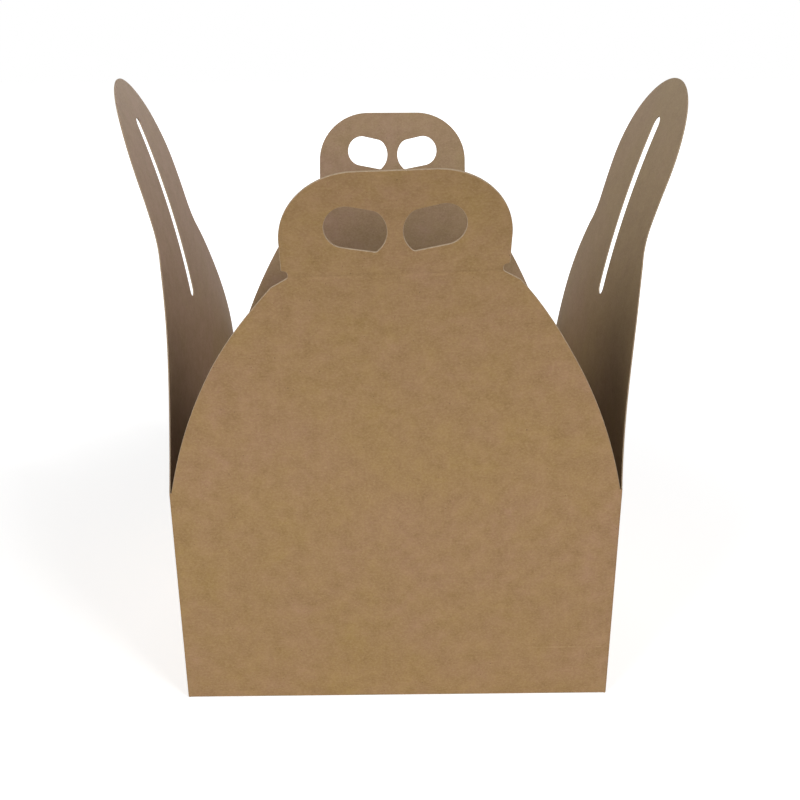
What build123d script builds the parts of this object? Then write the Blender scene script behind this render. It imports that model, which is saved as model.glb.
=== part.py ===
# Kraft card panettone box, folded from one die-cut sheet and standing open.
# The front and back flaps end in carrying handles, and the side flaps have the slots that close over them.
# Millimetres, +Z up, origin in the middle of the underside, front towards -Y.
import math
import os

from build123d import *

# Card
card = 0.6                      # thickness of the sheet
fold_radius = 1.2               # outside of a fold
crease_gap = 0.1                # between a flap's creased edge and its wall
overrun = 5.0                   # how far a cutting shape passes the card

# Walls
base_width = 200.0              # outside, left to right
base_depth = 200.0              # outside, front to back
wall_height = 108.0             # underside to the shoulder crease
lap_width = 16.0                # glued lap inside the back left corner
lap_taper = 5.0                 # slope of the lap's two ends
lap_gap = 3.0                   # from the lap's ends to the creases

# Bottom, two outer flaps that meet in the middle under two inner flaps glued to them
seam_gap = 0.8                  # between two flaps of a pair
inner_flap_taper = 6.0          # narrowing of each side towards the seam

# Front and back flaps, with lengths along the card from the shoulder crease
handle_bow = 305.0              # radius of the outward bow
neck_length = 104.0             # up to the throats of the notches
notch_depth = 2.5               # cut into each side of the handle
notch_rise = 2.5                # from the throat up to the foot of the handle's side
throat_radius = 2.1             # rounding of the throat
foot_radius = 2.0               # rounding of the corner above a notch
lip_drop = 5.9                  # from the throat down to the lower lip
lip_reach = 4.4                 # of the lip, beyond the side of the handle
lip_radius = 7.0                # rounding of the lip
handle_edge_bulge = 7.3         # roundness of the edge from the shoulder to the lip
handle_width = 88.6
handle_height = 45.5            # from the throats of the notches to the top
handle_corner = 29.5            # radius of the top corners

# Finger holes, two in each handle
finger_bridge = 6.1             # card left between the two holes
finger_side_gap = 17.35         # card left beside a hole
finger_foot_gap = 9.5           # from the throats of the notches up to the holes
finger_top_gap = 15.6           # card left above the holes
finger_heel_radius = 1.2        # lower corner beside the bridge
finger_brow_radius = 6.0        # upper corner beside the bridge
# Points of a hole as shares of its length from the bridge and of its height
finger_heel_shares = (0.18, 0.0)
finger_foot_shares = (0.70, 0.12)
finger_outer_shares = (1.0, 0.55)
finger_top_shares = (0.60, 1.0)
finger_brow_shares = (0.17, 0.88)
finger_inner_shares = (0.0, 0.43)

# Side flaps, with lengths along the card from the shoulder crease
tongue_bow = 445.0              # radius of the outward bow
tongue_length = 173.0           # up to the round tip
tongue_width = 92.0
tongue_side_run = 19.0          # straight sides below the round tip
tongue_flare_height = 16.5      # hollow edges below the straight sides
tongue_flare_reach = 6.5        # by which each hollow edge runs outwards
tongue_edge_bulge = 4.2         # roundness of the edge from the shoulder to the hollow
slot_width = 8.0
slot_foot_gap = 63.5            # from the shoulder crease up to the slot
slot_tip_gap = 19.0             # from the slot up to the tip

half_width = base_width / 2
half_depth = base_depth / 2
half_card = card / 2
mid_fold = fold_radius - half_card
wall_top = wall_height - half_card - crease_gap
tube_bottom = card + fold_radius
fold_width = base_width - 2 * fold_radius
fold_depth = base_depth - 2 * fold_radius
# Shoulder creases, in the middle of the card
crease_x = half_width - half_card
crease_y = half_depth - half_card
handle_length = neck_length + handle_height
finger_base = neck_length + finger_foot_gap
finger_height = handle_height - finger_foot_gap - finger_top_gap
finger_length = (handle_width - finger_bridge) / 2 - finger_side_gap
tongue_top_length = tongue_length - tongue_width / 2
tongue_side_length = tongue_top_length - tongue_side_run
tongue_root_length = tongue_side_length - tongue_flare_height
quarter_turn = 90


def rise(length, bow):
    """Height above the shoulder crease of a point this far along a bowed flap."""
    return wall_height + bow * math.sin(length / bow)


def finger_point(shares):
    """A point of the right finger hole, seen from the front."""
    across = finger_bridge / 2 + shares[0] * finger_length
    along = finger_base + shares[1] * finger_height
    return (across, rise(along, handle_bow))


def bowed_section(crease, length, bow):
    """Section of a flap that bows away from the box, with a half-round creased edge."""
    centre = crease + bow
    reach = length / bow

    def place(radius, turn):
        return (centre - radius * math.cos(turn), wall_height + radius * math.sin(turn))

    inner = bow + half_card
    outer = bow - half_card
    with BuildSketch() as section:
        with BuildLine():
            ThreePointArc(place(inner, 0), place(inner, reach / 2), place(inner, reach))
            Line(place(inner, reach), place(outer, reach))
            ThreePointArc(place(outer, reach), place(outer, reach / 2), place(outer, 0))
            ThreePointArc(place(outer, 0), (crease, wall_height - half_card), place(inner, 0))
        make_face()
    return section.sketch


# Four walls in one tube, with the bottom flaps and the lap that is glued inside
with BuildPart() as tray:
    with BuildSketch(Plane.XY.offset(tube_bottom)):
        RectangleRounded(base_width, base_depth, fold_radius)
        RectangleRounded(base_width - 2 * card, base_depth - 2 * card, fold_radius - card, mode=Mode.SUBTRACT)
    extrude(amount=wall_top - tube_bottom)
    # Outer bottom flaps, folded in from the front and the back wall
    with BuildSketch(Plane.YZ):
        with BuildLine():
            FilletPolyline(
                (crease_y, tube_bottom),
                (crease_y, half_card),
                (seam_gap / 2, half_card),
                radius=mid_fold,
            )
        trace(line_width=card)
        mirror(about=Plane.YZ)
    extrude(amount=fold_width / 2, both=True)
    # Folds of the inner bottom flaps, which lie on the outer ones
    with BuildSketch(Plane.XZ):
        with BuildLine():
            JernArc((crease_x, tube_bottom), (0, -1), mid_fold, -quarter_turn)
        trace(line_width=card)
        mirror(about=Plane.YZ)
    extrude(amount=fold_depth / 2, both=True)
    with BuildSketch(Plane.XY.offset(card)):
        with BuildLine():
            Polyline(
                (fold_width / 2, fold_depth / 2),
                (seam_gap / 2, fold_depth / 2 - inner_flap_taper),
                (seam_gap / 2, inner_flap_taper - fold_depth / 2),
                (fold_width / 2, -fold_depth / 2),
                close=True,
            )
        make_face()
        mirror(about=Plane.YZ)
    extrude(amount=card)
    # Lap of the back wall, glued to the inside of the left wall
    with BuildSketch(Plane.YZ.offset(card - half_width)):
        with BuildLine():
            Polyline(
                (half_depth - fold_radius, tube_bottom + lap_gap),
                (half_depth - lap_width, tube_bottom + lap_gap + lap_taper),
                (half_depth - lap_width, wall_top - lap_gap - lap_taper),
                (half_depth - fold_radius, wall_top - lap_gap),
                close=True,
            )
        make_face()
    extrude(amount=card)

# Front flap, bowed towards -Y, with its handle and two finger holes
with BuildPart() as front_handle_flap:
    with BuildSketch(Plane.YZ):
        mirror(bowed_section(crease_y, handle_length + overrun, handle_bow), about=Plane.YZ)
    extrude(amount=half_width, both=True)
    with BuildSketch(Plane.XZ) as handle_outline:
        with BuildLine():
            handle_top = rise(handle_length, handle_bow)
            corner_start = rise(handle_length - handle_corner, handle_bow)
            handle_foot = (handle_width / 2, rise(neck_length + notch_rise, handle_bow))
            throat = (handle_width / 2 - notch_depth, rise(neck_length, handle_bow))
            lip = (handle_width / 2 + lip_reach, rise(neck_length - lip_drop, handle_bow))
            Polyline(
                (0, wall_height - overrun),
                (fold_width / 2, wall_height - overrun),
                (fold_width / 2, wall_height),
            )
            SagittaArc((fold_width / 2, wall_height), lip, -handle_edge_bulge)
            Polyline(lip, throat, handle_foot, (handle_width / 2, corner_start))
            EllipticalCenterArc(
                (handle_width / 2 - handle_corner, corner_start),
                handle_corner,
                handle_top - corner_start,
                arc_size=quarter_turn,
            )
            Line((handle_width / 2 - handle_corner, handle_top), (0, handle_top))
            mirror(about=Plane.YZ)
        make_face()
        for corner, radius in ((lip, lip_radius), (throat, throat_radius), (handle_foot, foot_radius)):
            for across in (corner[0], -corner[0]):
                fillet(handle_outline.vertices().sort_by_distance((across, corner[1]))[0], radius)
    extrude(amount=base_depth, mode=Mode.INTERSECT)
    with BuildSketch(Plane.XZ) as finger_holes:
        with BuildLine():
            Line(finger_point(finger_heel_shares), finger_point(finger_foot_shares))
            ThreePointArc(
                finger_point(finger_foot_shares),
                finger_point(finger_outer_shares),
                finger_point(finger_top_shares),
            )
            Line(finger_point(finger_top_shares), finger_point(finger_brow_shares))
            ThreePointArc(
                finger_point(finger_brow_shares),
                finger_point(finger_inner_shares),
                finger_point(finger_heel_shares),
            )
        make_face()
        heel = finger_point(finger_heel_shares)
        brow = finger_point(finger_brow_shares)
        fillet(finger_holes.vertices().sort_by_distance(heel)[0], finger_heel_radius)
        fillet(finger_holes.vertices().sort_by_distance(brow)[0], finger_brow_radius)
        mirror(about=Plane.YZ)
    extrude(amount=base_depth, mode=Mode.SUBTRACT)

# Back flap, the front one turned to the other side
with BuildPart() as back_handle_flap:
    mirror(front_handle_flap.part, about=Plane.XZ)

# Right flap, bowed towards +X, with a round tongue and the slot that takes the handles
with BuildPart() as right_slot_flap:
    with BuildSketch(Plane.XZ):
        add(bowed_section(crease_x, tongue_length + overrun, tongue_bow))
    extrude(amount=half_depth, both=True)
    with BuildSketch(Plane.YZ):
        with BuildLine():
            tongue_top = rise(tongue_length, tongue_bow)
            side_top = rise(tongue_top_length, tongue_bow)
            side_foot = (tongue_width / 2, rise(tongue_side_length, tongue_bow))
            root = (tongue_width / 2 + tongue_flare_reach, rise(tongue_root_length, tongue_bow))
            Polyline(
                (0, wall_height - overrun),
                (fold_depth / 2, wall_height - overrun),
                (fold_depth / 2, wall_height),
            )
            SagittaArc((fold_depth / 2, wall_height), root, -tongue_edge_bulge)
            TangentArc(side_foot, root, tangent=(0, -1))
            Line(side_foot, (tongue_width / 2, side_top))
            EllipticalCenterArc(
                (0, side_top),
                tongue_width / 2,
                tongue_top - side_top,
                arc_size=quarter_turn,
            )
            mirror(about=Plane.YZ)
        make_face()
    extrude(amount=base_width, mode=Mode.INTERSECT)
    with BuildSketch(Plane.YZ):
        slot_foot = rise(slot_foot_gap, tongue_bow)
        slot_head = rise(tongue_length - slot_tip_gap, tongue_bow)
        with Locations((0, (slot_foot + slot_head) / 2)):
            SlotOverall(slot_head - slot_foot, slot_width, rotation=quarter_turn)
    extrude(amount=base_width, mode=Mode.SUBTRACT)

# Left flap, the right one turned to the other side
with BuildPart() as left_slot_flap:
    mirror(right_slot_flap.part, about=Plane.YZ)

tray.part.label = "tray"
front_handle_flap.part.label = "front_handle_flap"
back_handle_flap.part.label = "back_handle_flap"
right_slot_flap.part.label = "right_slot_flap"
left_slot_flap.part.label = "left_slot_flap"

os.makedirs("parts", exist_ok=True)
export_step(tray.part, "parts/tray.step")
export_step(front_handle_flap.part, "parts/front_handle_flap.step")
export_step(back_handle_flap.part, "parts/back_handle_flap.step")
export_step(right_slot_flap.part, "parts/right_slot_flap.step")
export_step(left_slot_flap.part, "parts/left_slot_flap.step")
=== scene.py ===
# Open kraft cake box. Each panel is a strip of card, bottom flap, wall and top flap, folded up from the flat
import bpy
import bmesh
import math
import numpy as np
from mathutils import Euler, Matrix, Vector
from mathutils.geometry import delaunay_2d_cdt


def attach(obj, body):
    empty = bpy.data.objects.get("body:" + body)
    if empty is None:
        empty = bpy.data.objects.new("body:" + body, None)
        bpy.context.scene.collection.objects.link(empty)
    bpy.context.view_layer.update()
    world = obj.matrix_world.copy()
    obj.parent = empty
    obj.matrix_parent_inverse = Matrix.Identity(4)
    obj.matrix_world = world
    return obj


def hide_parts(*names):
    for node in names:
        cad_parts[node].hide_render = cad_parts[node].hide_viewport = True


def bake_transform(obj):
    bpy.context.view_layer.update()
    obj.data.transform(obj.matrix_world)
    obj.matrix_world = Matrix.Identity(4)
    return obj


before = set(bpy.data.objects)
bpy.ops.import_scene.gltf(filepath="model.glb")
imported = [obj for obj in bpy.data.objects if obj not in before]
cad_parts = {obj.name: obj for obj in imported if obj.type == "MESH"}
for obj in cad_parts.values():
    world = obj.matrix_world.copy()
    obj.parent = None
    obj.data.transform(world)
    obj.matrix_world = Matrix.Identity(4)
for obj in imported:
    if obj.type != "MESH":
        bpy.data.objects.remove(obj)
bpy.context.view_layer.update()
scene = bpy.context.scene
mm = 0.001
print("frame:", ", ".join(sorted(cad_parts)))


# The sheet, in mm. Heights in a flap are counted from the shoulder crease
card = {
    "thick": 0.6,
    "foldMid": 0.9,      # bend of a fold, in the middle of the card
    "base": 200.0,       # outside, both ways
    "wall": 108.0,       # shoulder crease above the table
    "seam": 0.2,         # between two bottom flaps of a pair
    "cornerFoot": 0.35,  # end of a corner fold above the table
    "blendHigh": 5.5,    # height at which the card goes wholly with its flap
    "slantHigh": 75.0,   # height at which a flap's slant is full
    "creaseDeep": 0.11,  # pressed line at the neck of a handle
    "creaseWide": 0.55,
    "rimWorn": 0.18,     # outer rim of a cut edge, pressed round by the die
    "rimHigh": 3.0,      # height at which that is full
    "rimLeast": 0.01,    # and what is less than this isn't made
}
creaseAt = card["base"] / 2 - card["thick"] / 2      # shoulder crease, from the middle of the box
flatHalf = creaseAt - card["foldMid"]                # flat part of a wall, from its middle
wrap = card["foldMid"] * math.pi / 4                 # half of a corner fold, which each wall takes

# The mesh, in mm
net = {
    "inside": 4.0,       # inside a panel
    "cut": 1.3,          # along a cut edge
    "cutClear": 0.62,    # share of that which inner points stay away from the cut
    "columns": 50,       # across a wall
    "wallRows": 25,      # up a wall
    "shoulderRows": (-4.0, -2.0, -0.8, 0.0, 0.6, 1.2, 1.8, 2.4, 3.0, 3.7, 4.5, 5.5, 7.0),
    "flapFrom": 10.0,    # first of the even rows in a flap
    "neckStep": 0.4,     # rows at a pressed line
    "neckRows": 7,       # to each side of it
    "neckClear": 1.0,    # even rows stay this far away from those
    "bendSteps": 6,      # round a bottom fold
    "foldSteps": 3,      # round half a corner fold
    "foldClear": 0.05,   # inner points on a corner fold stay this far away from the cut
    "endClear": 0.1,     # and so do rows and columns at the end of a fold
    "reach": 40,         # points to each side of a corner that its rounding may take
    "weld": 1e-5,
    "joinFlat": 1.0,     # largest angles at which two triangles become one face, in degrees
    "joinShape": 40.0,
    "sharp": 38.0,       # shading breaks at this angle, in degrees
}
slack = 0.001            # what is nearer than this is taken as touching
tiny = 1e-12             # keeps a division away from zero


# Flat outlines. Points are (across, height), and the height is taken along the bow at the end

def stroke(start, end, step):
    count = max(1, round(math.dist(start, end) / step))
    return [(start[0] + (end[0] - start[0]) * i / count,
             start[1] + (end[1] - start[1]) * i / count) for i in range(count)]


def arcThrough(a, b, c, step):
    d = 2 * (a[0] * (b[1] - c[1]) + b[0] * (c[1] - a[1]) + c[0] * (a[1] - b[1]))
    aa, bb, cc = (p[0] ** 2 + p[1] ** 2 for p in (a, b, c))
    mid = ((aa * (b[1] - c[1]) + bb * (c[1] - a[1]) + cc * (a[1] - b[1])) / d,
           (aa * (c[0] - b[0]) + bb * (a[0] - c[0]) + cc * (b[0] - a[0])) / d)
    radius = math.dist(mid, a)
    first, through, last = (math.atan2(p[1] - mid[1], p[0] - mid[0]) for p in (a, b, c))
    turn = (last - first) % math.tau
    if (through - first) % math.tau > turn:
        turn -= math.tau
    count = max(3, round(abs(turn) * radius / step))
    angles = [first + turn * i / count for i in range(count)]
    return [(mid[0] + radius * math.cos(angle), mid[1] + radius * math.sin(angle)) for angle in angles]


def bulged(a, b, bulge, step):      # arc from a to b, standing out by the bulge on its right
    long = math.dist(a, b)
    away = ((b[1] - a[1]) / long, -(b[0] - a[0]) / long)
    top = ((a[0] + b[0]) / 2 + away[0] * bulge, (a[1] + b[1]) / 2 + away[1] * bulge)
    return arcThrough(a, top, b, step)


def ovalCorner(mid, across, up, step):      # quarter turn from the side to the top
    count = max(4, round(math.pi / 2 * max(across, up) / step))
    angles = [math.pi / 2 * i / count for i in range(count)]
    return [(mid[0] + across * math.cos(angle), mid[1] + up * math.sin(angle)) for angle in angles]


def offsetLine(points, gap):      # line beside a run of points, on its left
    lefts = []
    for i, p in enumerate(points):
        a, b = points[max(0, i - 1)], points[min(len(points) - 1, i + 1)]
        long = math.dist(a, b)
        lefts.append((p[0] - (b[1] - a[1]) / long * gap, p[1] + (b[0] - a[0]) / long * gap))
    return lefts


def crossing(before, after):      # last place where two runs of points cross
    found = None
    for p, q in zip(before[:-1], before[1:]):
        for r, s in zip(after[:-1], after[1:]):
            d = (q[0] - p[0]) * (s[1] - r[1]) - (q[1] - p[1]) * (s[0] - r[0])
            if abs(d) > tiny:
                x = ((r[0] - p[0]) * (s[1] - r[1]) - (r[1] - p[1]) * (s[0] - r[0])) / d
                y = ((r[0] - p[0]) * (q[1] - p[1]) - (r[1] - p[1]) * (q[0] - p[0])) / d
                if 0 <= x <= 1 and 0 <= y <= 1:
                    found = (p[0] + (q[0] - p[0]) * x, p[1] + (q[1] - p[1]) * x)
    return found


def roundedOff(loop, corner, radius, step):      # rolls a disc into the corner at this place of a loop
    here = loop[corner]
    ahead = [loop[(corner + i) % len(loop)] for i in range(1, net["reach"])]
    behind = [loop[corner - i] for i in range(1, net["reach"])]
    a, b = behind[0], ahead[0]
    inward = (here[0] - a[0]) * (b[1] - here[1]) - (here[1] - a[1]) * (b[0] - here[0])
    gap = radius if inward > 0 else -radius
    mid = crossing(offsetLine(list(reversed(behind)) + [here], gap), offsetLine([here] + ahead, gap))
    if mid is None:
        return loop
    first = min(range(len(behind)), key=lambda i: math.dist(behind[i], mid))
    last = min(range(len(ahead)), key=lambda i: math.dist(ahead[i], mid))
    start, end = behind[first], ahead[last]
    long = math.dist(here, mid)
    nearest = (mid[0] + (here[0] - mid[0]) * radius / long, mid[1] + (here[1] - mid[1]) * radius / long)
    swapped = {(corner - i) % len(loop) for i in range(first + 2)}
    swapped |= {(corner + i) % len(loop) for i in range(last + 2)}
    arc = arcThrough(start, nearest, end, step) + [end]
    out = [p for i, p in enumerate(loop) if i not in swapped]
    place = sum(1 for i in range(corner) if i not in swapped)
    return out[:place] + arc + out[place:]


def bothSides(right):      # right half from the foot to the middle of the top, then the left half back down
    left = [(-x, y) for x, y in reversed(right) if x > slack]
    return right + left


def rise(length, bow):      # height over the shoulder of a point this far along a bowed flap
    return bow * math.sin(length / bow)


def along(height, bow):      # and the way back
    return bow * math.asin(height / bow)


# Front and back flaps with the handles
handle = {
    "bow": 305.0,
    "neck": 103.3, "notchDepth": 2.4, "notchRise": 3.2, "shelf": 0.85,
    "throatRound": 1.4, "shelfRound": 1.2, "footRound": 0.8,
    "lipDrop": 4.2, "lipReach": 4.6, "lipRound": 5.0,
    "width": 88.6, "top": 148.8, "corner": 29.5, "tiltFrom": 60.0,
    "holeBridge": 6.1, "holeLong": 23.9, "holeHigh": 20.4, "holeFoot": 113.5,
    "heelRound": 1.2, "browRound": 6.0,
    "heel": (0.18, 0.0), "foot": (0.70, 0.12), "outer": (1.0, 0.55),      # points of a hole, in shares of it
    "crown": (0.60, 1.0), "brow": (0.17, 0.88), "inner": (0.0, 0.43),
}


def handleSide(h, edgeBulge, step):      # right half, from the shoulder to the middle of the top
    bow = h["bow"]
    neckAt = h["neck"]
    half = h["width"] / 2
    notchStep, sideStep, roundStep = step / 6, step / 3, step / 4
    top = rise(h["top"], bow)
    cornerFoot = rise(h["top"] - h["corner"], bow)
    lip = (half + h["lipReach"], rise(neckAt - h["lipDrop"], bow))
    throat = (half - h["notchDepth"], rise(neckAt, bow))
    shelf = (half - h["notchDepth"], rise(neckAt + h["notchRise"] * h["shelf"], bow))
    foot = (half, rise(neckAt + h["notchRise"], bow))
    line = bulged((flatHalf, 0.0), lip, edgeBulge, step)
    places = []
    for corner, following in ((lip, throat), (throat, shelf), (shelf, foot)):
        places.append(len(line))
        line += stroke(corner, following, notchStep)
    places.append(len(line))
    line += stroke(foot, (half, cornerFoot), sideStep)
    line += ovalCorner((half - h["corner"], cornerFoot), h["corner"], top - cornerFoot, step)
    line += stroke((half - h["corner"], top), (0.0, top), step)
    radii = (h["lipRound"], h["throatRound"], h["shelfRound"], h["footRound"])
    for place, radius in reversed(list(zip(places, radii))):
        line = roundedOff(line, place, radius, roundStep)
    return [(x, along(y, bow)) for x, y in line] + [(0.0, h["top"])]


def eased(share):      # 0 to 1 with a soft start and end
    return share * share * (3 - 2 * share)


def tilted(h, panel, points):      # handle a little out of level, easing in above the wall
    moved = []
    for x, y in points:
        share = min(1.0, max(0.0, (y - h["tiltFrom"]) / (h["neck"] - h["tiltFrom"])))
        moved.append((x, y + panel["tilt"] * x / (h["width"] / 2) * eased(share)))
    return moved


def fingerHole(h, step):
    bow = h["bow"]

    def at(share):
        return (h["holeBridge"] / 2 + share[0] * h["holeLong"],
                rise(h["holeFoot"] + share[1] * h["holeHigh"], bow))

    heel, brow = at(h["heel"]), at(h["brow"])
    browStep, heelStep = step / 2, step / 4
    loop = stroke(heel, at(h["foot"]), step)
    loop += arcThrough(at(h["foot"]), at(h["outer"]), at(h["crown"]), step)
    loop += stroke(at(h["crown"]), brow, step)
    browPlace = len(loop)
    loop += arcThrough(brow, at(h["inner"]), heel, step)
    loop = roundedOff(loop, browPlace, h["browRound"], browStep)
    heelPlace = min(range(len(loop)), key=lambda i: math.dist(loop[i], heel))
    loop = roundedOff(loop, heelPlace, h["heelRound"], heelStep)
    return [(x, along(y, bow)) for x, y in loop]


# Left and right flaps with the slots
tongue = {
    "bow": 445.0,
    "width": 92.0, "top": 173.0, "sideRun": 19.0,
    "flareHigh": 16.5, "flareReach": 6.5,
    "slotWide": 8.0, "slotFoot": 63.5, "slotTop": 154.0,
}


def tongueSide(t, edgeBulge, step):
    bow = t["bow"]
    half = t["width"] / 2
    top = rise(t["top"], bow)
    sideTop = rise(t["top"] - half, bow)
    sideFoot = (half, rise(t["top"] - half - t["sideRun"], bow))
    root = (half + t["flareReach"], rise(t["top"] - half - t["sideRun"] - t["flareHigh"], bow))
    line = bulged((flatHalf, 0.0), root, edgeBulge, step)
    chordX, chordY = root[0] - sideFoot[0], sideFoot[1] - root[1]      # hollow edge, up into the side
    radius = (chordX ** 2 + chordY ** 2) / (2 * chordX)
    sweep = math.asin(chordY / radius)
    count = max(4, round(sweep * radius / step))
    angles = [sweep * (1 - i / count) for i in range(count)]
    line += [(sideFoot[0] + radius - radius * math.cos(angle), sideFoot[1] - radius * math.sin(angle))
             for angle in angles]
    line += stroke(sideFoot, (half, sideTop), step)
    line += ovalCorner((0.0, sideTop), half, top - sideTop, step)
    return [(x, along(y, bow)) for x, y in line] + [(0.0, t["top"])]


def tongueOutline(t, panel, step):
    right = tongueSide(t, panel["edgeBulge"][1], step)
    left = tongueSide(t, panel["edgeBulge"][0], step)
    return right + [(-x, y) for x, y in reversed(left[:-1])]


def slotOutline(t, step):
    bow = t["bow"]
    half = t["slotWide"] / 2
    slant = half * math.sqrt(0.5)      # halfway round an end
    endStep = step / 3
    foot, top = rise(t["slotFoot"], bow) + half, rise(t["slotTop"], bow) - half
    right = arcThrough((0.0, foot - half), (slant, foot - slant), (half, foot), endStep)
    right += stroke((half, foot), (half, top), step)
    right += arcThrough((half, top), (slant, top + slant), (0.0, top + half), endStep)
    right.append((0.0, top + half))
    return [(x, along(y, bow)) for x, y in bothSides(right)]


# Meshing and folding
foldColumns = [flatHalf + wrap * (k + 1) / net["foldSteps"] for k in range(net["foldSteps"])]


def panelRows(wallFoot):
    bend = card["foldMid"] * math.pi / 2
    shoulder = net["shoulderRows"]
    rows = [wallFoot - bend * k / net["bendSteps"] for k in range(net["bendSteps"] + 1)]
    rows += list(np.arange(wallFoot - bend - net["inside"], wallFoot - bend - flatHalf, -net["inside"]))
    rows += list(np.linspace(wallFoot, shoulder[0], net["wallRows"] + 1)[1:])
    rows += shoulder[1:]
    return sorted(rows)


def panelColumns():
    flat = list(np.linspace(-flatHalf, flatHalf, net["columns"]))
    return [-x for x in reversed(foldColumns)] + flat + foldColumns


def panelFrame(flap, bendFoot, taper):      # flap outline with the wall and the bottom flap under it
    wallFoot = bendFoot - card["wall"]
    bendEnd = wallFoot - card["foldMid"] * math.pi / 2
    low = bendEnd - flatHalf + card["seam"] / 2
    tubeFoot = card["cornerFoot"] - card["wall"]
    rows = [v for v in panelRows(wallFoot) if low < v < 0]
    right = [(flatHalf - taper, low)]
    for v in (v for v in rows if v < tubeFoot - slack):
        narrowed = taper * (bendEnd - v) / (bendEnd - low) if v < bendEnd else 0.0
        right.append((flatHalf - narrowed, v))
    right.append((flatHalf, tubeFoot))
    right += [(x, tubeFoot) for x in foldColumns]
    right += [(flatHalf + wrap, v) for v in rows if v > tubeFoot + net["endClear"]]
    right += [(x, 0.0) for x in reversed(foldColumns)]
    left = [(-x, v) for x, v in reversed(right)]
    base = [(x, low) for x in panelColumns() if abs(x) < flatHalf - taper - net["endClear"]]
    return right + flap + left + base


def within(points, loops):      # even-odd count of crossings
    odd = np.zeros(len(points), bool)
    for loop in loops:
        a = np.array(loop)
        b = np.roll(a, -1, axis=0)
        spans = (a[None, :, 1] > points[:, None, 1]) != (b[None, :, 1] > points[:, None, 1])
        rising = np.where(b[:, 1] == a[:, 1], tiny, b[:, 1] - a[:, 1])
        cross = a[:, 0] + (points[:, None, 1] - a[:, 1]) * (b[:, 0] - a[:, 0]) / rising
        odd ^= (np.sum(spans & (points[:, None, 0] < cross), axis=1) % 2).astype(bool)
    return odd


def flatMesh(loops, rows, columns):      # points, faces and cut edges of a flat piece
    rim = np.array([p for loop in loops for p in loop])
    grid = np.array([(x, y) for y in rows for x in columns])
    grid = grid[within(grid, loops)]
    near = np.min(np.linalg.norm(grid[:, None, :] - rim[None, :, :], axis=2), axis=1)
    foldSide = np.abs(grid[:, 0]) > flatHalf - slack
    grid = grid[(near > net["cut"] * net["cutClear"]) | (foldSide & (near > net["foldClear"]))]
    points = [Vector(p) for p in np.vstack([rim, grid])]
    edges, start = [], 0
    for loop in loops:
        edges += [(start + i, start + (i + 1) % len(loop)) for i in range(len(loop))]
        start += len(loop)
    made = delaunay_2d_cdt(points, edges, [], 2, net["weld"])
    places = np.array([tuple(p) for p in made[0]])
    faces = [f for f in made[2] if len(f) == 3]
    keep = within(np.array([places[f].mean(axis=0) for f in faces]), loops)
    faces = [f for f, k in zip(faces, keep) if k]
    bm = bmesh.new()
    verts = [bm.verts.new((p[0], p[1], 0.0)) for p in places]
    for f in faces:
        a, b, c = (places[i] for i in f)
        turn = (b[0] - a[0]) * (c[1] - a[1]) - (b[1] - a[1]) * (c[0] - a[0])
        bm.faces.new([verts[i] for i in (f if turn > 0 else reversed(f))])
    bmesh.ops.join_triangles(bm, faces=bm.faces[:], angle_face_threshold=math.radians(net["joinFlat"]),
                             angle_shape_threshold=math.radians(net["joinShape"]))
    loose = [v for v in bm.verts if not v.link_faces]
    bmesh.ops.delete(bm, geom=loose, context="VERTS")
    bm.verts.index_update()
    flat = [(v.co.x, v.co.y) for v in bm.verts]
    faces = [[v.index for v in f.verts] for f in bm.faces]
    turned = []
    for e in (e for e in bm.edges if len(e.link_faces) == 1):
        loop = e.link_loops[0]
        turned.append((loop.vert.index, loop.link_loop_next.vert.index))
    bm.free()
    return flat, faces, turned


def folded(u, v, depth, panel, neckAt):      # where a point of the sheet goes: across, out, up
    mid = card["foldMid"]
    bendFoot = panel["bendFoot"]
    wallFoot = bendFoot - card["wall"]
    if v > 0:
        if neckAt:
            line = neckAt + panel["tilt"] * u / (handle["width"] / 2)
            depth -= card["creaseDeep"] * math.exp(-((v - line) / card["creaseWide"]) ** 2)
        skew = panel["slant"] * u * eased(min(1.0, v / card["slantHigh"]))
        turn = (v + skew) / panel["bow"]
        out = panel["bow"] * (1 - math.cos(turn)) + depth * math.cos(turn)
        up = panel["bow"] * math.sin(turn) - depth * math.sin(turn) - skew
        tilt = math.radians(panel["lean"])
        return (u, creaseAt + out * math.cos(tilt) + up * math.sin(tilt),
                card["wall"] - out * math.sin(tilt) + up * math.cos(tilt))
    side = abs(u) - flatHalf
    if side > slack:
        turn = side / mid
        across = flatHalf + (mid + depth) * math.sin(turn)
        return math.copysign(across, u), flatHalf + (mid + depth) * math.cos(turn), card["wall"] + v
    if v >= wallFoot:
        return u, creaseAt + depth, card["wall"] + v
    turn = (wallFoot - v) / mid
    if turn < math.pi / 2:
        return u, flatHalf + (mid + depth) * math.cos(turn), bendFoot - (mid + depth) * math.sin(turn)
    past = (wallFoot - v) - mid * math.pi / 2
    return u, flatHalf - past, bendFoot - mid - depth


def wornRim(flat, rim):      # how far the outside face stays back from each cut point above the wall
    inward = {}
    for a, b in rim:
        across, up = flat[b][0] - flat[a][0], flat[b][1] - flat[a][1]
        long = math.hypot(across, up)
        for i in (a, b):
            x, y = inward.get(i, (0.0, 0.0))
            inward[i] = (x - up / long, y + across / long)
    worn = {}
    for i, (x, y) in inward.items():
        back = card["rimWorn"] * min(1.0, flat[i][1] / card["rimHigh"])
        if back > card["rimLeast"]:
            worn[i] = (x / math.hypot(x, y) * back, y / math.hypot(x, y) * back, back)
    return worn


blank = {"pitch": 0.203, "insideShift": 0.07}      # places on the blank, for the fibres, in metres


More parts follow.
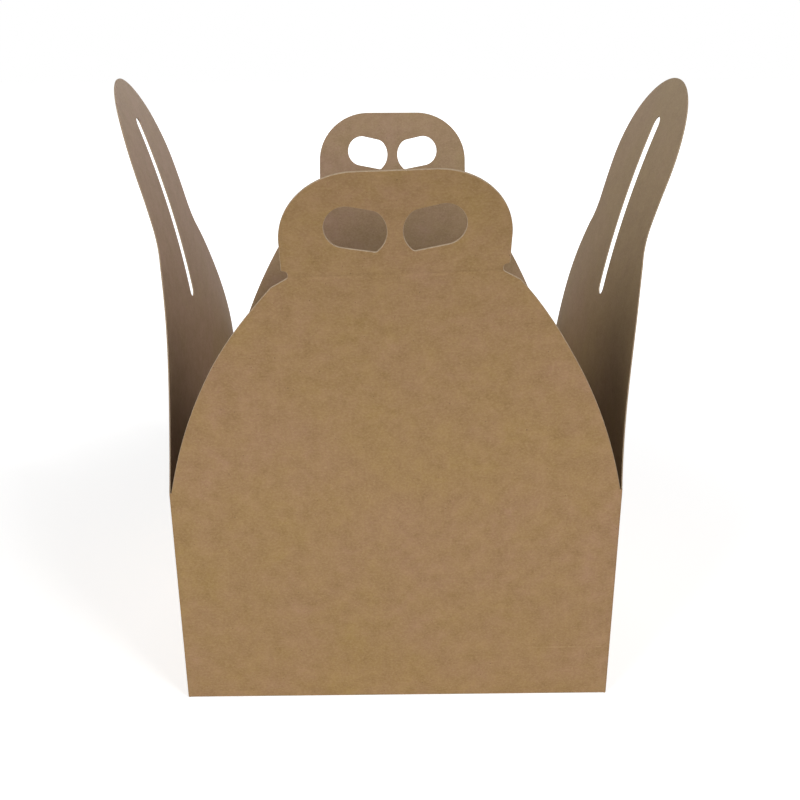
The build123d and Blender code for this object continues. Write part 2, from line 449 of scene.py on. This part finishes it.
def cardPiece(name, flat, faces, rim, place, quarter, lookup, worn):
    half = card["thick"] / 2
    turn = math.radians(90 * quarter)
    c, s = math.cos(turn), math.sin(turn)
    n = len(flat)
    spots = []      # across and height on the flat sheet, then depth in the card
    for i, (u, v) in enumerate(flat):
        x, y = worn[i][:2] if i in worn else (0.0, 0.0)
        spots.append((u + x, v + y, half))
    spots += [(u, v, -half) for u, v in flat]
    spots += [(*flat[i], half - worn[i][2]) for i in worn]
    belowRim = {i: 2 * n + k for k, i in enumerate(worn)}
    verts = []
    for u, v, depth in spots:
        x, out, z = place(u, v, depth)
        y = -out
        verts.append(((x * c - y * s) * mm, (x * s + y * c) * mm, z * mm))
    edgeFaces = []
    for a, b in rim:
        lowA, lowB = belowRim.get(a, a), belowRim.get(b, b)
        edgeFaces.append([lowB, lowA, n + a, n + b])
        if lowA != a or lowB != b:
            edgeFaces.append(list(dict.fromkeys([b, a, lowA, lowB])))
    allFaces = [list(f) for f in faces]
    allFaces += [[n + i for i in reversed(f)] for f in faces]
    allFaces += edgeFaces
    mesh = bpy.data.meshes.new(name)
    mesh.from_pydata(verts, [], allFaces)
    for key in ("outside", "inside", "cutEdge"):
        mesh.materials.append(lookup[key])
    kinds = [0] * len(faces) + [1] * len(faces) + [2] * len(edgeFaces)
    mesh.polygons.foreach_set("material_index", kinds)
    sheet = mesh.attributes.new("sheet", "FLOAT_VECTOR", "POINT")
    spot = [(u * mm + blank["pitch"] * quarter, v * mm, 0.0 if depth > 0 else blank["insideShift"])
            for u, v, depth in spots]
    sheet.data.foreach_set("vector", [x for p in spot for x in p])
    mesh.shade_smooth()
    mesh.set_sharp_from_angle(angle=math.radians(net["sharp"]))
    mesh.update()
    piece = bpy.data.objects.new(name, mesh)
    scene.collection.objects.link(piece)
    return piece


# Finishes
mixSocket = {"share": 0, "colour": 6, "tint": 7, "result": 2}      # of a colour mix


def newNode(tree, kind, at, **values):
    node = tree.nodes.new(kind)
    node.location = at
    for key, value in values.items():
        if key in node.inputs:
            node.inputs[key].default_value = value
        else:
            setattr(node, key, value)
    return node


def mathNode(tree, at, operation, first, second):
    node = newNode(tree, "ShaderNodeMath", at, operation=operation)
    tree.links.new(first, node.inputs[0])
    tree.links.new(second, node.inputs[1])
    return node.outputs[0]


def noiseNode(tree, at, vector, settings):
    node = newNode(tree, "ShaderNodeTexNoise", at, **settings)
    tree.links.new(vector, node.inputs["Vector"])
    return node.outputs["Fac"]


def rangeNode(tree, at, value, span, result, **kind):      # takes one span of numbers to another
    node = newNode(tree, "ShaderNodeMapRange", at, **kind)
    for key, number in zip(("From Min", "From Max", "To Min", "To Max"), (*span, *result)):
        node.inputs[key].default_value = number
    tree.links.new(value, node.inputs["Value"])
    return node.outputs["Result"]


def rampNode(tree, at, value, stops):
    node = newNode(tree, "ShaderNodeValToRGB", at)
    for element, (position, colour) in zip(node.color_ramp.elements, stops):
        element.position = position
        element.color = srgb(*colour)
    tree.links.new(value, node.inputs["Fac"])
    return node.outputs["Color"]


def tintNode(tree, at, share, colour, tint):      # lays a share of the tint over a colour
    node = newNode(tree, "ShaderNodeMix", at, data_type="RGBA")
    node.inputs[mixSocket["tint"]].default_value = srgb(*tint)
    tree.links.new(share, node.inputs[mixSocket["share"]])
    tree.links.new(colour, node.inputs[mixSocket["colour"]])
    return node.outputs[mixSocket["result"]]


def srgb(r, g, b):
    def lin(x):
        x /= 255
        return x / 12.92 if x <= 0.04045 else ((x + 0.055) / 1.055) ** 2.4
    return (lin(r), lin(g), lin(b), 1.0)


kraft = {
    "outside": {
        "warm": (163, 134, 85), "rosy": (167, 132, 104), "dark": (136, 107, 69), "pale": (182, 151, 110),
        "rough": 0.86, "gloss": 0.2, "paintedLightShift": 0.0,
    },
    "inside": {
        "warm": (146, 122, 84), "rosy": (153, 122, 101), "dark": (126, 100, 68), "pale": (163, 140, 108),
        # the inside's shift is painted light: its left panel rosier as painted sheen, its right one browner
        # as painted shade
        "rough": 0.66, "gloss": 0.55, "paintedLightShift": 0.12,
    },
    "cloud": {"Scale": 14.0, "Detail": 7.0, "Roughness": 0.78},
    "blotch": {"Scale": 120.0, "Detail": 4.0, "Roughness": 0.78},
    "fibre": {"Scale": 1150.0, "Detail": 2.0, "Roughness": 0.6, "Distortion": 0.5},
    "fleck": {"Scale": 900.0, "Detail": 1.0, "Roughness": 0.4},
    "grain": (0.78, 1.0, 1.0),                           # fibres lie mostly across
    "patches": 0.70, "threads": 0.4, "flecks": 0.6,      # strength of each, then the noise that each takes
    "hueSpan": (0.36, 0.64), "patchSpan": (0.3, 0.7),
    "threadSpan": (0.42, 0.72), "fleckSpan": (0.75, 0.82),
    "fleckShade": 0.62,                                  # times the dark tint
    "bump": 0.00004, "bumpStrength": 0.5,
    "scuff": {                                           # faint scrape low on the front, in metres
        "from": 0.060, "to": 0.101, "height": -0.0815, "half": 0.0005, "strength": 0.6,
        "fadeIn": 0.012, "fadeOut": 0.003,
        "patchy": {"Scale": 260.0, "Detail": 2.0, "Roughness": 0.6}, "patchySpan": (0.4, 0.6),
    },
}


def scraped(tree, spot, colour, tint, scuff):      # pale broken line across the sheet
    apart = newNode(tree, "ShaderNodeSeparateXYZ", (-650, -800))
    tree.links.new(spot, apart.inputs[0])
    off = newNode(tree, "ShaderNodeMath", (-400, -800), operation="SUBTRACT")
    off.inputs[1].default_value = scuff["height"]
    tree.links.new(apart.outputs["Y"], off.inputs[0])
    gap = newNode(tree, "ShaderNodeMath", (-200, -800), operation="ABSOLUTE")
    tree.links.new(off.outputs[0], gap.inputs[0])
    mask = rangeNode(tree, (0, -800), gap.outputs[0], (0.0, scuff["half"]), (scuff["strength"], 0.0),
                     interpolation_type="SMOOTHSTEP")
    begun = (scuff["from"], scuff["from"] + scuff["fadeIn"])
    ended = (scuff["to"] - scuff["fadeOut"], scuff["to"])
    begin = rangeNode(tree, (0, -1050), apart.outputs["X"], begun, (0.0, 1.0))
    end = rangeNode(tree, (0, -1300), apart.outputs["X"], ended, (1.0, 0.0))
    patchy = noiseNode(tree, (0, -1550), spot, scuff["patchy"])
    broken = rangeNode(tree, (200, -1550), patchy, scuff["patchySpan"], (0.0, 1.0))
    for part in (begin, end, broken):
        mask = mathNode(tree, (450, -900), "MULTIPLY", mask, part)
    return tintNode(tree, (650, 50), mask, colour, tint["pale"])


def kraftFinish(name, tint, look):
    mat = bpy.data.materials.new(name)
    mat.use_nodes = True
    tree = mat.node_tree
    tree.nodes.clear()
    link = tree.links.new
    out = newNode(tree, "ShaderNodeOutputMaterial", (1400, 0))
    shader = newNode(tree, "ShaderNodeBsdfPrincipled", (1100, 0),
                     **{"Roughness": tint["rough"], "Specular IOR Level": tint["gloss"]})
    spot = newNode(tree, "ShaderNodeAttribute", (-1100, 0), attribute_name="sheet").outputs["Vector"]
    grain = newNode(tree, "ShaderNodeMapping", (-900, -250), vector_type="POINT")
    grain.inputs["Scale"].default_value = look["grain"]
    link(spot, grain.inputs["Vector"])
    cloud = noiseNode(tree, (-650, 250), spot, look["cloud"])
    blotch = noiseNode(tree, (-650, 0), spot, look["blotch"])
    fibre = noiseNode(tree, (-650, -250), grain.outputs["Vector"], look["fibre"])
    fleck = noiseNode(tree, (-650, -500), spot, look["fleck"])
    if tint["paintedLightShift"]:      # painted light: rosier from the right panel to the left one, by place on the sheet, as painted sheen on the brighter lit left panel and painted shade on the right one
        apart = newNode(tree, "ShaderNodeSeparateXYZ", (-900, 450))
        link(spot, apart.inputs[0])
        paintedLightShift = rangeNode(tree, (-650, 450), apart.outputs["X"], (blank["pitch"], 3 * blank["pitch"]),
                          (-tint["paintedLightShift"], tint["paintedLightShift"]))
        cloud = mathNode(tree, (-500, 350), "ADD", cloud, paintedLightShift)
    colour = rampNode(tree, (-400, 250), cloud, zip(look["hueSpan"], (tint["warm"], tint["rosy"])))
    patch = rangeNode(tree, (-400, 0), blotch, look["patchSpan"], (0.0, look["patches"]))
    colour = tintNode(tree, (-100, 200), patch, colour, tint["dark"])
    thread = rangeNode(tree, (-400, -250), fibre, look["threadSpan"], (0.0, look["threads"]))
    colour = tintNode(tree, (150, 150), thread, colour, tint["pale"])
    speck = rangeNode(tree, (-400, -500), fleck, look["fleckSpan"], (0.0, look["flecks"]))
    colour = tintNode(tree, (400, 100), speck, colour, [x * look["fleckShade"] for x in tint["dark"]])
    if look["scuff"]:
        colour = scraped(tree, spot, colour, tint, look["scuff"])
    link(colour, shader.inputs["Base Color"])
    bump = newNode(tree, "ShaderNodeBump", (700, -300),
                   **{"Strength": look["bumpStrength"], "Distance": look["bump"]})
    link(mathNode(tree, (150, -300), "ADD", fibre, blotch), bump.inputs["Height"])
    link(bump.outputs["Normal"], shader.inputs["Normal"])
    link(shader.outputs["BSDF"], out.inputs["Surface"])
    return mat


cut = {
    "deep": (158, 136, 110), "pale": (180, 160, 136), "span": (0.34, 0.6),      # the noise from deep to pale
    "torn": {"Scale": 700.0, "Detail": 3.0, "Roughness": 0.6},
    "rough": 0.92, "gloss": 0.15,
}


def cutFinish(name, tint):
    mat = bpy.data.materials.new(name)
    mat.use_nodes = True
    tree = mat.node_tree
    shader = tree.nodes["Principled BSDF"]
    shader.inputs["Roughness"].default_value = tint["rough"]
    shader.inputs["Specular IOR Level"].default_value = tint["gloss"]
    spot = newNode(tree, "ShaderNodeAttribute", (-800, 0), attribute_name="sheet")
    torn = noiseNode(tree, (-600, 0), spot.outputs["Vector"], tint["torn"])
    colour = rampNode(tree, (-350, 0), torn, zip(tint["span"], (tint["deep"], tint["pale"])))
    tree.links.new(colour, shader.inputs["Base Color"])
    return mat


finishes = {
    "outside": kraftFinish("kraft_outside", kraft["outside"], kraft),
    "inside": kraftFinish("kraft_inside", kraft["inside"], dict(kraft, scuff=None)),
    "cutEdge": cutFinish("kraft_cut_edge", cut),
}
print("finishes:", ", ".join(finishes))


# Panels. The front is quarter 0, then each next one is a quarter turn further round, seen from above.
# Slant twists a flap, lean tips it out by so many degrees, and tilt lifts the right side of a handle
panels = [
    {"name": "frontPanel", "flap": "front_handle_flap", "quarter": 0, "kind": "handle",
     "bendFoot": 1.2, "taper": 0.0, "bow": 317.4, "slant": 0.0, "lean": 0.0, "edgeBulge": 7.3, "tilt": 1.5},
    {"name": "rightPanel", "flap": "right_slot_flap", "quarter": 1, "kind": "tongue",
     "bendFoot": 1.8, "taper": 6.0, "bow": 475.5, "slant": -0.166, "lean": 1.63, "edgeBulge": (3.7, 3.6)},
    {"name": "backPanel", "flap": "back_handle_flap", "quarter": 2, "kind": "handle",
     "bendFoot": 1.2, "taper": 0.0, "bow": 305.0, "slant": 0.0, "lean": 0.04, "edgeBulge": 5.4, "tilt": 0.0},
    {"name": "leftPanel", "flap": "left_slot_flap", "quarter": 3, "kind": "tongue",
     "bendFoot": 1.8, "taper": 6.0, "bow": 440.0, "slant": -0.150, "lean": -1.15, "edgeBulge": (8.4, 2.8)},
]
for panel in panels:
    step = net["cut"]
    if panel["kind"] == "handle":
        form, neckAt = handle, handle["neck"]
        flap = tilted(form, panel, bothSides(handleSide(form, panel["edgeBulge"], step)))
        hole = fingerHole(form, step)
        holes = [tilted(form, panel, loop) for loop in (hole, [(-x, y) for x, y in reversed(hole)])]
        neckRows = [neckAt + net["neckStep"] * k for k in range(-net["neckRows"], net["neckRows"] + 1)]
    else:
        form, neckAt = tongue, None
        flap = tongueOutline(form, panel, step)
        holes = [slotOutline(form, step)]
        neckRows = []
    rows = panelRows(panel["bendFoot"] - card["wall"])
    high = list(np.arange(net["flapFrom"], form["top"], net["inside"]))
    rows += [v for v in high if all(abs(v - n) > net["neckClear"] for n in neckRows)] + neckRows
    outline = panelFrame(flap, panel["bendFoot"], panel["taper"])
    flat, faces, rim = flatMesh([outline] + holes, rows, panelColumns())
    piece = cardPiece(panel["name"], flat, faces, rim, lambda u, v, d: folded(u, v, d, panel, neckAt),
                      panel["quarter"], finishes, wornRim(flat, rim))
    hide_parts(panel["flap"], "tray")
    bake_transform(piece)
    print(panel["name"], len(piece.data.polygons), "faces")


# Lap of the back panel, glued to the inside of the left one
lap = {"quarter": 3, "wide": 16.0, "taper": 5.0, "gap": 3.0, "fold": 1.2}
lapFoot = card["thick"] + lap["fold"] + lap["gap"]
lapTop = card["wall"] - card["thick"] / 2 - lap["gap"]
lapIn, lapOut = lap["wide"] - card["base"] / 2, lap["fold"] - card["base"] / 2
lapFace = card["base"] / 2 - card["thick"] * 1.5      # middle of the second layer of card
lapLoop = stroke((lapOut, lapFoot), (lapIn, lapFoot + lap["taper"]), net["cut"])
lapLoop += stroke((lapIn, lapFoot + lap["taper"]), (lapIn, lapTop - lap["taper"]), net["cut"])
lapLoop += stroke((lapIn, lapTop - lap["taper"]), (lapOut, lapTop), net["cut"])
lapLoop += stroke((lapOut, lapTop), (lapOut, lapFoot), net["inside"])
lapRows = list(np.arange(lapFoot, lapTop, net["inside"]))
lapColumns = list(np.arange(lapOut, lapIn, net["inside"]))
flat, faces, rim = flatMesh([lapLoop], lapRows, lapColumns)
glueLap = cardPiece("glueLap", flat, faces, rim, lambda u, v, d: (u, lapFace + d, v),
                    lap["quarter"], finishes, {})
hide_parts("tray")
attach(glueLap, "tray")
print("glueLap", len(glueLap.data.polygons), "faces")


# Camera at the photograph's place, in metres, with its angles in degrees
view = {
    "place": (-0.002195, -0.489969, 0.297493),
    "down": 20.573, "aside": 0.583, "roll": -0.244,
    "lens": 44.145, "sensor": 36.0, "clip": (0.01, 20.0),
}
camData = bpy.data.cameras.new("camera")
camData.lens, camData.sensor_width = view["lens"], view["sensor"]
camData.clip_start, camData.clip_end = view["clip"]
cam = bpy.data.objects.new("camera", camData)
turnAside = Euler((0, 0, math.radians(-view["aside"]))).to_matrix()
tip = Euler((math.radians(90 - view["down"]), 0, 0)).to_matrix()
lean = Euler((0, 0, math.radians(view["roll"]))).to_matrix()
cam.matrix_world = (turnAside @ tip @ lean).to_4x4()
cam.location = view["place"]
scene.collection.objects.link(cam)
scene.camera = cam
print("camera ready")


# Studio: white table, a softbox to each side of the camera and a weaker one behind the box
studio = {
    "fill": 0.03,
    "lamps": {
        "right": {"power": 99.0, "place": (2.64, -2.14, 2.3), "size": 1.8},
        "left": {"power": 85.5, "place": (-2.55, -2.25, 1.55), "size": 1.8},
        "behind": {"power": 24.0, "place": (0.0, 3.2, 1.25), "size": 1.4},
    },
    "aim": (0.0, 0.0, 0.12),
    "floor": 0.80, "floorHalf": 6.0, "floorDrop": 0.0003,
    "lift": (0.62, 1.0), "liftSpan": (0.18, 0.75),      # glow of the floor that the eye sees, near and far
}
white = (1, 1, 1, 1)
scene.view_settings.view_transform = "Standard"


def seenRays(tree, at):      # 1 where the eye, a reflection or a clear piece looks straight at it
    path = newNode(tree, "ShaderNodeLightPath", at).outputs
    two = mathNode(tree, (at[0] + 200, at[1]), "MAXIMUM", path["Is Camera Ray"], path["Is Glossy Ray"])
    return mathNode(tree, (at[0] + 400, at[1]), "MAXIMUM", two, path["Is Transmission Ray"])


world = bpy.data.worlds.new("studio")
scene.world = world
world.use_nodes = True
tree = world.node_tree
tree.nodes.clear()
worldOut = newNode(tree, "ShaderNodeOutputWorld", (600, 0))
backdrop = newNode(tree, "ShaderNodeBackground", (100, 150), **{"Color": white, "Strength": 1.0})
fill = newNode(tree, "ShaderNodeBackground", (100, -50), **{"Color": white, "Strength": studio["fill"]})
worldMix = newNode(tree, "ShaderNodeMixShader", (350, 0))
tree.links.new(seenRays(tree, (-500, 250)), worldMix.inputs[0])
tree.links.new(fill.outputs[0], worldMix.inputs[1])
tree.links.new(backdrop.outputs[0], worldMix.inputs[2])
tree.links.new(worldMix.outputs[0], worldOut.inputs["Surface"])

wide = studio["floorHalf"]
floorCorners = [(-wide, -wide, 0), (wide, -wide, 0), (wide, wide, 0), (-wide, wide, 0)]
floorMesh = bpy.data.meshes.new("floor")
floorMesh.from_pydata(floorCorners, [], [(0, 1, 2, 3)])
floor = bpy.data.objects.new("floor", floorMesh)
floor.location.z = -studio["floorDrop"]
scene.collection.objects.link(floor)
floorMat = bpy.data.materials.new("floor_white")
floorMat.use_nodes = True
tree = floorMat.node_tree
tree.nodes.clear()
floorOut = newNode(tree, "ShaderNodeOutputMaterial", (900, 0))
matte = newNode(tree, "ShaderNodeBsdfDiffuse", (300, 150), **{"Color": (studio["floor"],) * 3 + (1,)})
glow = newNode(tree, "ShaderNodeEmission", (300, -100), **{"Color": white})
spot = newNode(tree, "ShaderNodeTexCoord", (-900, -300))
away = newNode(tree, "ShaderNodeVectorMath", (-700, -300), operation="LENGTH")
tree.links.new(spot.outputs["Object"], away.inputs[0])
lift = rangeNode(tree, (-500, -300), away.outputs["Value"], studio["liftSpan"], studio["lift"],
                 interpolation_type="SMOOTHSTEP")
share = mathNode(tree, (0, -100), "MULTIPLY", seenRays(tree, (-700, 0)), lift)
both = newNode(tree, "ShaderNodeAddShader", (600, 0))
tree.links.new(share, glow.inputs["Strength"])
tree.links.new(matte.outputs[0], both.inputs[0])
tree.links.new(glow.outputs[0], both.inputs[1])
tree.links.new(both.outputs[0], floorOut.inputs["Surface"])
floorMesh.materials.append(floorMat)

for name, lamp in studio["lamps"].items():
    lampData = bpy.data.lights.new("softbox_" + name, "AREA")
    lampData.energy, lampData.size = lamp["power"], lamp["size"]
    box = bpy.data.objects.new("softbox_" + name, lampData)
    box.location = lamp["place"]
    box.rotation_euler = (Vector(studio["aim"]) - box.location).to_track_quat("-Z", "Y").to_euler()
    scene.collection.objects.link(box)
print("studio ready")
